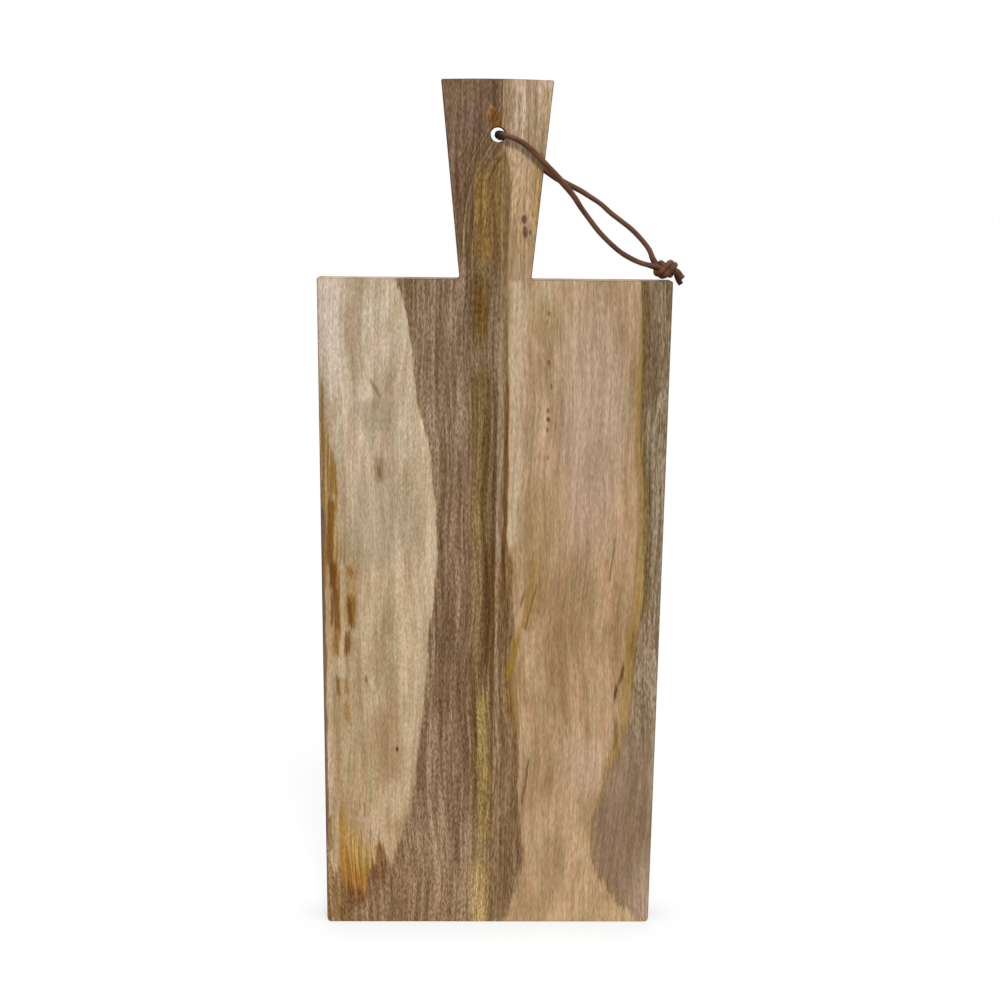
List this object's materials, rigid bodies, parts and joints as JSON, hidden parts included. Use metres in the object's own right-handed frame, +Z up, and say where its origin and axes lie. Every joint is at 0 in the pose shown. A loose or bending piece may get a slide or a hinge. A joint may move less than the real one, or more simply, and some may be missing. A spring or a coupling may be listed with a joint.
{
  "type": "serving board",
  "caption": "Long rectangular wooden serving board with a flared drilled handle and a knotted leather cord loop to carry or hang it by.",
  "frame": {"origin": "on the ground under the middle of the board's foot", "axes": "+Z up along the board from foot to handle, +X to the right seen from the front, front face towards -Y"},
  "size_m": [0.2049, 0.0208, 0.5],
  "materials": {
    "left_stave_wood": "fine sanded and oiled, sapwood outside and brown heartwood towards the seam",
    "right_stave_wood": "fine sanded and oiled, pinkish tan sapwood with golden edge streaks",
    "leather": "round brown leather cord, lightly waxed"
  },
  "bodies": {
    "board": {"left_stave": "left_stave_wood", "right_stave": "right_stave_wood"},
    "hanging_loop": {"leather_cord": "leather"}
  },
  "joints": [
    {"name": "loop_swing", "type": "hinge", "parent": "board", "child": "hanging_loop", "pos_m": [0.0006, 0, 0.471], "axis": [0, -1, 0], "range_deg": [0, 252]}
  ]
}
